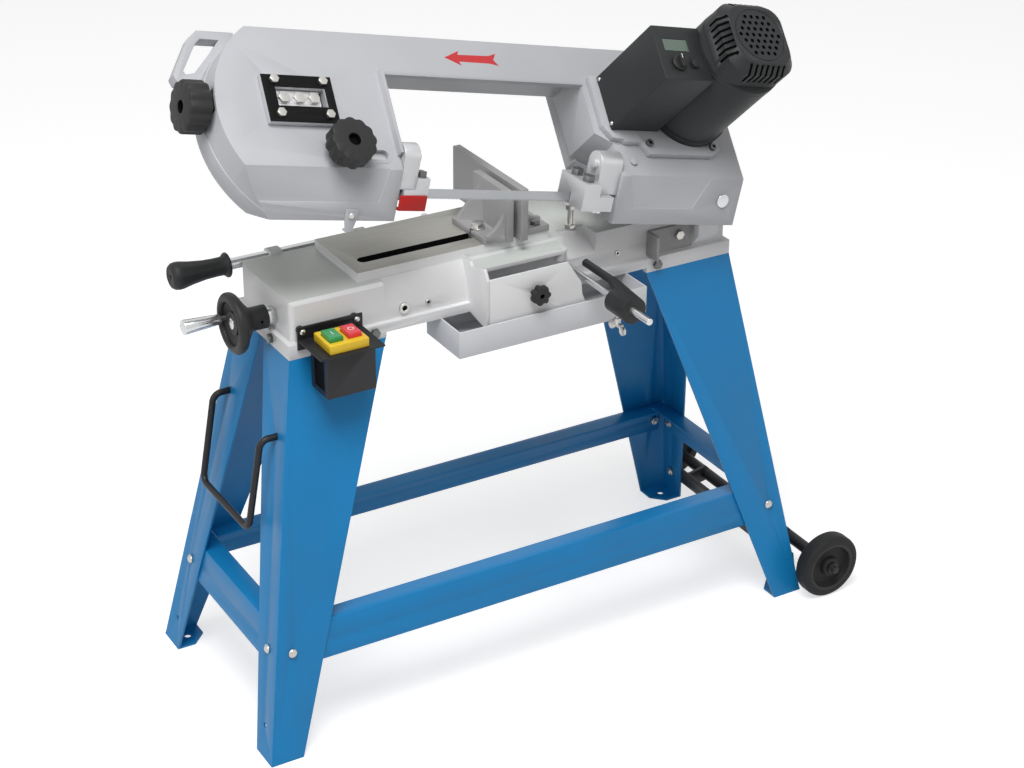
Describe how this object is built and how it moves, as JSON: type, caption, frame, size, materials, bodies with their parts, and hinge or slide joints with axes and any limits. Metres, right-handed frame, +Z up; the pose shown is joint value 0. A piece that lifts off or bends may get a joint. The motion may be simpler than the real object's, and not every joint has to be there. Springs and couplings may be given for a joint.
{
  "type": "band saw",
  "caption": "Horizontal metal-cutting band saw: a pivoting bow with wheels, blade, guides and motor over a cast base with a screw vice, on a folded-sheet stand with a wheel pair.",
  "frame": {"origin": "centre of the four foot holes, on the floor", "axes": "+X along the machine towards the motor and the wheels, -Y towards the operator, +Z up"},
  "size_m": [1.0621, 0.559, 1.0396],
  "materials": {
    "stand_paint": "semi-gloss powder coat",
    "base_paint": "satin paint on cast iron",
    "bow_paint": "satin paint on cast metal",
    "black_steel": "satin black paint",
    "zinc_steel": "zinc-plated",
    "machined_steel": "fine machined",
    "cast_wheel": "turned casting",
    "black_plastic": "fine-grained",
    "grip_steel": "polished",
    "motor_black": "satin black",
    "rubber": "matt",
    "switch_yellow": "gloss",
    "button_green": "gloss",
    "button_red": "gloss",
    "guard_red": "gloss paint"
  },
  "bodies": {
    "stand": {"leg_front_left": "stand_paint", "leg_front_right": "stand_paint", "leg_rear_left": "stand_paint", "leg_rear_right": "stand_paint", "rail_front": "stand_paint", "rail_rear": "stand_paint", "rail_left": "stand_paint", "rail_right": "stand_paint", "dome_bolts": "zinc_steel", "lift_handle": "black_steel", "wheel_bracket": "black_steel", "base_casting": "base_paint", "hex_bolts": "zinc_steel", "chip_tray": "base_paint", "chute_panel": "base_paint", "fixed_jaw": "base_paint", "down_stop": "zinc_steel", "stop_bracket": "black_steel", "switch_bracket": "black_steel", "switch_unit": "switch_yellow"},
    "front_wheel": {"wheel_front": "rubber"},
    "rear_wheel": {"wheel_rear": "rubber"},
    "bow": {"bow_casting": "bow_paint", "cover_idler": "bow_paint", "cover_drive": "bow_paint", "stop_tab": "bow_paint", "hinge_pin": "zinc_steel", "blade": "machined_steel", "tension_plate": "black_steel", "tension_bolts": "zinc_steel", "guide_arm_right": "machined_steel", "guide_block_right": "machined_steel", "bearings_right": "machined_steel", "gearbox": "machined_steel", "motor": "motor_black", "control_box": "motor_black"},
    "driving_wheel": {"drive_wheel": "cast_wheel"},
    "tension_slide": {"idler_slide": "machined_steel"},
    "following_wheel": {"idler_wheel": "cast_wheel"},
    "tension_handle": {"tension_knob": "black_plastic"},
    "left_guide": {"guide_arm_left": "machined_steel", "guide_block_left": "machined_steel", "bearings_left": "machined_steel", "blade_guard": "guard_red"},
    "guide_clamp": {"guide_knob": "black_plastic"},
    "jaw": {"movable_jaw": "base_paint", "jaw_nut": "zinc_steel"},
    "screw": {"vice_screw": "zinc_steel", "handwheel": "black_plastic"},
    "crank": {"crank_grip": "grip_steel"},
    "work_stop_rod": {"stop_rod": "zinc_steel"},
    "work_stop": {"stop_finger": "black_steel"},
    "work_stop_clamp": {"wing_screw": "zinc_steel"},
    "panel_knob": {"star_knob": "black_plastic"},
    "pull_handle": {"pull_rod": "zinc_steel", "pull_grip": "black_plastic"},
    "start": {"button_start": "button_green"},
    "stop": {"button_stop": "button_red"},
    "reset": {"reset_button": "black_plastic"},
    "speed": {"speed_knob": "black_plastic"}
  },
  "joints": [
    {"name": "front_wheel_turn", "type": "hinge", "parent": "stand", "child": "front_wheel", "pos_m": [0.51, -0.226, 0.055], "axis": [0, 1, 0], "continuous": true},
    {"name": "rear_wheel_turn", "type": "hinge", "parent": "stand", "child": "rear_wheel", "pos_m": [0.51, 0.226, 0.055], "axis": [0, 1, 0], "continuous": true},
    {"name": "bow_lift", "type": "hinge", "parent": "stand", "child": "bow", "pos_m": [0.329, -0.06, 0.7], "axis": [0, 1, 0], "range_deg": [-12.58, 40]},
    {"name": "drive_wheel_turn", "type": "hinge", "parent": "bow", "child": "driving_wheel", "pos_m": [0.25748, -0.02175, 0.78356], "axis": [0.1593, -0.682, 0.7138], "continuous": true},
    {"name": "tension_travel", "type": "slide", "parent": "bow", "child": "tension_slide", "axis": [0.976, 0, -0.2178], "range_m": [0, 0.005]},
    {"name": "idler_wheel_turn", "type": "hinge", "parent": "tension_slide", "child": "following_wheel", "pos_m": [-0.33885, -0.02175, 0.91663], "axis": [0.1593, -0.682, 0.7138], "continuous": true},
    {"name": "tension_knob_turn", "type": "hinge", "parent": "bow", "child": "tension_handle", "pos_m": [-0.48942, -0.03319, 0.96732], "axis": [0.976, 0, -0.2178], "range_deg": [-1200, 0]},
    {"name": "guide_travel", "type": "slide", "parent": "bow", "child": "left_guide", "axis": [0.976, 0, -0.2178], "range_m": [0, 0.065]},
    {"name": "guide_knob_turn", "type": "hinge", "parent": "left_guide", "child": "guide_clamp", "pos_m": [-0.29276, -0.11825, 0.8982], "axis": [0.1593, -0.682, 0.7138], "range_deg": [0, 360]},
    {"name": "jaw_travel", "type": "slide", "parent": "stand", "child": "jaw", "axis": [1, 0, 0], "range_m": [-0.15, 0.0085]},
    {"name": "vice_screw_turn", "type": "hinge", "parent": "stand", "child": "screw", "pos_m": [-0.4, -0.026, 0.634], "axis": [1, 0, 0], "range_deg": [-13510, 770]},
    {"name": "crank_grip_turn", "type": "hinge", "parent": "screw", "child": "crank", "pos_m": [-0.46, 0.002, 0.631], "axis": [1, 0, 0], "continuous": true},
    {"name": "stop_rod_swing", "type": "hinge", "parent": "stand", "child": "work_stop_rod", "pos_m": [0.081, -0.2, 0.633], "axis": [0, 1, 0], "range_deg": [-50, 60]},
    {"name": "stop_travel", "type": "slide", "parent": "work_stop_rod", "child": "work_stop", "axis": [0, 1, 0], "range_m": [-0.04, 0.028]},
    {"name": "wing_screw_turn", "type": "hinge", "parent": "work_stop", "child": "work_stop_clamp", "pos_m": [0.081, -0.226, 0.6], "axis": [0, 0, 1], "range_deg": [-360, 0]},
    {"name": "panel_knob_turn", "type": "hinge", "parent": "stand", "child": "panel_knob", "pos_m": [-0.002, -0.145, 0.629], "axis": [0, 1, 0], "range_deg": [-360, 0]},
    {"name": "pull_handle_travel", "type": "slide", "parent": "stand", "child": "pull_handle", "axis": [-1, 0, 0], "range_m": [0, 0.1]},
    {"name": "start_press", "type": "slide", "parent": "stand", "child": "start", "axis": [0, 0, -1], "range_m": [0, 0.003], "stiffness_N_per_m": 600, "springref_m": -0.002},
    {"name": "stop_press", "type": "slide", "parent": "stand", "child": "stop", "axis": [0, 0, -1], "range_m": [0, 0.003], "stiffness_N_per_m": 600, "springref_m": -0.002},
    {"name": "reset_press", "type": "slide", "parent": "bow", "child": "reset", "axis": [-0.1593, 0.682, -0.7138], "range_m": [0, 0.0025], "stiffness_N_per_m": 500, "springref_m": -0.002},
    {"name": "speed_knob_turn", "type": "hinge", "parent": "bow", "child": "speed", "pos_m": [0.21014, -0.16579, 0.94789], "axis": [0.1593, -0.682, 0.7138], "range_deg": [-150, 150]}
  ],
  "couplings": [
    {"joint": "idler_wheel_turn", "follows": "drive_wheel_turn", "ratio": 1},
    {"joint": "tension_knob_turn", "follows": "tension_travel", "rad_per_m": -4188.8},
    {"joint": "vice_screw_turn", "follows": "jaw_travel", "rad_per_m": 1570.8}
  ]
}
